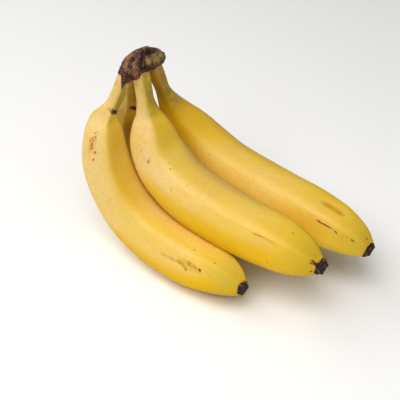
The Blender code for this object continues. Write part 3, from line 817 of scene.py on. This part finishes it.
def peelMaterial(name, banana, skin):
    # yellow with streaks, painted shade, painted sheen and specks, then the olive stalk, darker on one side
    # as painted shade, the green end, flecks, marks, scars and skin
    n, look = Nodes(name), peelLook
    place = n.attribute("straight", vector=True)
    body = n.objectPlace()
    broad = n.noise(body, look["broad"], 3, 0.5)
    streaks = n.noise(n.scaled(place, look["streaks"]), 1.0, 4, 0.6)
    grain = n.noise(place, look["grain"], 3, 0.6)
    mottle = n.noise(place, look["mottle"], 4, 0.6)
    colour = n.ramp(broad, [(0.30, look["deep"]), (0.48, look["main"]), (0.70, look["pale"])])
    colour = n.mix(n.between(streaks, 0.45, 0.75, 0, 0.22), colour, look["pale"])
    # painted sheen: a paler cream on the faces turned towards the light, in patches, fainter over the
    # painted shade
    patches = n.between(n.noise(place, 45, 3, 0.55), 0.30, 0.62, 0.55, 1.0)
    paintedSheen = n.math("MULTIPLY", n.attribute("paintedSheen"), patches)
    paintedShade = n.attribute("paintedShade")
    paintedSheen = n.math("MULTIPLY", paintedSheen, n.between(paintedShade, 0.3, 1.0, 0.75, 0.15))
    # painted shade: a deeper yellow in the creases between the bananas and on their lower flanks
    colour = n.mix(paintedShade, colour, look["paintedShade"])
    colour = n.mix(paintedSheen, colour, look["paintedSheen"])
    mottleShare, grainShare = look["speckShares"]
    colour = n.mix(n.between(mottle, 0.47, 0.74, 0, mottleShare), colour, look["speck"])
    colour = n.mix(n.between(grain, 0.48, 0.68, 0, grainShare), colour, look["speck"])
    colour = n.mix(n.math("MULTIPLY", n.attribute("ridge"), 0.05), colour, look["olive"])
    # the stalk is olive in patches, most on its side away from the light as painted shade, and the peel
    # beside the flower end is greenish with a tan rim
    patches = n.between(n.noise(place, 110, 3, 0.6), 0.30, 0.65, 0.35, 0.95)
    stalk = n.attribute("stalk")
    colour = n.mix(n.math("MULTIPLY", stalk, patches), colour, look["olive"])
    wander = n.math("MULTIPLY", n.noise(place, 300, 3, 0.6), 5.0)
    fromEnd = n.math("ADD", n.attribute("toEnd"), wander)
    colour = n.mix(n.between(fromEnd, 30.0, 4.0, 0, 0.6), colour, look["green"])
    colour = n.mix(n.between(fromEnd, 3.6, 2.5, 0, 0.55), colour, look["tan"])
    # small brown flecks, one to a cell, few of them dark
    far, pick = n.cells(place, look["flecks"])
    chosen = n.between(pick, 0.60, 0.85, 0, 0.55)
    colour = n.mix(n.math("MULTIPLY", n.between(far, 0.10, 0.05), chosen), colour, look["scratch"])
    # marks, at places shaken by noise so that their edges are ragged
    shake = n.noise(place, 1100, 2, 0.5, output="Color")
    shake = n.vectors("SCALE", n.vectors("SUBTRACT", shake, (0.5, 0.5, 0.5)), 0.0009)
    wobbled = n.vectors("ADD", place, shake)
    marked = 0.0
    for kind, marks in banana["marks"].items():
        cover = markCover(n, wobbled, skin, kind, marks)
        marked = n.math("MAXIMUM", cover, marked)
        colour = n.mix(cover, colour, look[kind])
    ragged = n.between(n.noise(place, 900, 3, 0.6), 0.35, 0.6, 0.75, 1.0)
    colour = n.mix(n.math("MULTIPLY", n.attribute("halo"), 0.6), colour, look["pink"])
    scar = n.math("MULTIPLY", n.attribute("scar"), ragged)
    colour = n.mix(scar, colour, look["dark"])
    marked = n.math("MAXIMUM", scar, marked)
    # the crown's skin on the stalk, with a pinkish edge
    tissue = n.math("ADD", n.attribute("tissue"), n.math("MULTIPLY", n.math("SUBTRACT", grain, 0.5), 0.5))
    colour = n.mix(n.between(tissue, -2.2, -0.1, 0, 0.6), colour, look["pink"])
    skinColour, fibres = tissueColour(n, body)
    if "husk" in banana:
        husk = brokenUp(n, markCover(n, wobbled, skin, "husk", banana["husk"]), fibres)
        skinColour = n.mix(husk, skinColour, tissueLook["tan"])
    onTissue = n.between(tissue, -0.12, 0.12)
    colour = n.mix(onTissue, colour, skinColour)
    n.wire(n.shader.inputs["Base Color"], colour)
    peelRough = n.between(n.noise(body, 200, 3), 0.3, 0.7, *look["roughness"])
    n.wire(n.shader.inputs["Roughness"], n.math("MAXIMUM", peelRough, n.math("MULTIPLY", onTissue, 0.8)))
    # duller where it is crown's skin, marked, stalk, painted shade or near the flower end
    dull = n.math("MAXIMUM", onTissue, marked)
    for value, share in ((stalk, 0.6), (paintedShade, 0.9)):
        dull = n.math("MAXIMUM", dull, n.math("MULTIPLY", value, share))
    dull = n.math("MAXIMUM", dull, n.between(fromEnd, 45.0, 12.0, 0, 0.75))
    n.wire(n.shader.inputs["Specular IOR Level"], n.between(dull, 0.0, 1.0, 0.6, 0.05))
    n.shader.inputs["Subsurface Weight"].default_value = look["subsurface"]
    n.shader.inputs["Subsurface Radius"].default_value = look["subsurfaceRadius"]
    n.shader.inputs["Subsurface Scale"].default_value = look["subsurfaceScale"]
    fine = n.bump(grain, 0.10, 0.0002)
    along = n.bump(streaks, 0.12, 0.0003, fine)
    n.wire(n.shader.inputs["Normal"], n.bump(n.math("MULTIPLY", fibres, onTissue), 0.6, 0.0006, along))
    return n.material


def crownMaterial():
    # the crown's skin with pink, tan and olive cut places, and darker in hollows and between fibres
    n, look = Nodes("crownTissue"), tissueLook
    place = n.objectPlace()
    colour, fibres = tissueColour(n, place)
    for kind in ("pink", "tan", "olive"):
        colour = n.mix(brokenUp(n, n.attribute(kind), fibres), colour, look[kind])
    hollow = n.math("MULTIPLY", n.attribute("hollow"), n.between(fibres, 0.62, 0.45, 0.6, 1.0))
    colour = n.mix(hollow, colour, look["hollow"])
    colour = n.mix(n.between(fibres, 0.46, 0.34, 0, 0.65), colour, look["hollow"])
    n.shader.inputs["Specular IOR Level"].default_value = 0.12
    n.wire(n.shader.inputs["Base Color"], colour)
    n.wire(n.shader.inputs["Roughness"], n.between(fibres, 0.3, 0.7, 0.62, 0.9))
    fine = n.bump(n.noise(place, 1700, 4, 0.6), 0.4, 0.0003)
    n.wire(n.shader.inputs["Normal"], n.bump(fibres, 0.6, 0.0006, fine))
    return n.material


def driedMaterial():
    # near black with grey-brown grains
    n = Nodes("driedFlower")
    grain = n.noise(n.objectPlace(), 750, 5, 0.65)
    n.shader.inputs["Specular IOR Level"].default_value = 0.15
    n.wire(n.shader.inputs["Base Color"], n.ramp(grain, tipLook["colours"]))
    n.wire(n.shader.inputs["Roughness"], n.between(grain, 0.3, 0.7, 0.6, 0.85))
    n.wire(n.shader.inputs["Normal"], n.bump(grain, 0.7, 0.0005))
    return n.material


# Building

def buildBanana(name, banana, dried):
    # the banana and its dried flower end, with its masks kept on its points for the peel's material
    skin = bananaSkin(banana)
    peel = peelMaterial(name + "Peel", banana, skin)
    piece = tubeMesh(name + "Banana", skin["points"], peel, "banana_" + name)
    keepOnMesh(piece, "straight", skin["straight"] * mm)
    for key, values in skin["masks"].items():
        keepOnMesh(piece, key, values)
    tubeMesh(name + "FlowerEnd", tipSkin(banana, skin), dried, "dried_tip_" + name)
    print(name, "banana done")


def buildCrown():
    # the crown, with its masks kept on its points
    skin = crownSkin()
    piece = tubeMesh("crownPiece", skin["points"], crownMaterial(), "crown")
    for key, values in skin["masks"].items():
        keepOnMesh(piece, key, values)
    print("crown done")


dried = driedMaterial()
bananas = {"left": leftBanana, "middle": middleBanana, "right": rightBanana, "under": underBanana}
for name, banana in bananas.items():
    buildBanana(name, banana, dried)
buildCrown()


# Floor, light and camera

studio = {
    "floor": (0.95, 0.95, 0.945), "floorRoughness": 0.9, "size": 6.0,
    "world": (1.0, 1.0, 1.0), "worldStrength": 0.03,
    # degrees round from the camera, degrees up, distance and size in metres, power in watts, colour
    "lights": {
        "keyLight": (-35, 60, 1.3, 1.1, 13.5, (1.0, 0.99, 0.97)),
        "frontLight": (10, 48, 1.3, 0.9, 1.0, (1.0, 1.0, 1.0)),
        "sheenLight": (-120, 46, 1.3, 1.1, 6.4, (1.0, 0.99, 0.97)),
        "rightLight": (38, 60, 1.3, 1.0, 2.9, (1.0, 1.0, 1.0)),
    },
    "lens": 85.0, "sensor": 36.0, "azimuth": 40.0, "elevation": 39.4, "distance": 0.642,
}


def directionAt(azimuth, elevation):
    # the unit vector that many degrees round from -Y towards +X, and that many up
    turn, rise = math.radians(azimuth), math.radians(elevation)
    return np.array([math.sin(turn) * math.cos(rise), -math.cos(turn) * math.cos(rise), math.sin(rise)])


def buildStudio():
    # a square floor, the lights in a ring that all look at the origin, and the camera
    look, scene = studio, bpy.context.scene
    half = look["size"] / 2
    floorMesh = bpy.data.meshes.new("floor")
    corners = [(-half, -half, 0), (half, -half, 0), (half, half, 0), (-half, half, 0)]
    floorMesh.from_pydata(corners, [], [(0, 1, 2, 3)])
    n = Nodes("floorPaper")
    n.wire(n.shader.inputs["Base Color"], look["floor"])
    n.shader.inputs["Roughness"].default_value = look["floorRoughness"]
    floorMesh.materials.append(n.material)
    floor = bpy.data.objects.new("floor", floorMesh)
    scene.collection.objects.link(floor)
    world = bpy.data.worlds.new("studio")
    scene.world = world
    world.use_nodes = True
    world.node_tree.nodes["Background"].inputs["Color"].default_value = (*look["world"], 1)
    world.node_tree.nodes["Background"].inputs["Strength"].default_value = look["worldStrength"]
    for name, (turn, height, far, size, power, colour) in look["lights"].items():
        lamp = bpy.data.lights.new(name, "AREA")
        lamp.shape = "DISK"
        lamp.size = size
        lamp.energy = power
        lamp.color = colour
        light = bpy.data.objects.new(name, lamp)
        light.location = far * directionAt(look["azimuth"] + turn, height)
        light.rotation_mode = "QUATERNION"
        light.rotation_quaternion = light.location.to_track_quat("Z", "Y")
        scene.collection.objects.link(light)
    camera = bpy.data.objects.new("camera", bpy.data.cameras.new("camera"))
    camera.data.lens = look["lens"]
    camera.data.sensor_width = look["sensor"]
    camera.location = -handCentre * mm + directionAt(look["azimuth"], look["elevation"]) * look["distance"]
    turn, rise = math.radians(look["azimuth"]), math.radians(look["elevation"])
    camera.rotation_euler = (math.pi / 2 - rise, 0, turn)
    scene.collection.objects.link(camera)
    bpy.context.scene.camera = camera
    scene.view_settings.view_transform = "Standard"


buildStudio()
print("studio done")
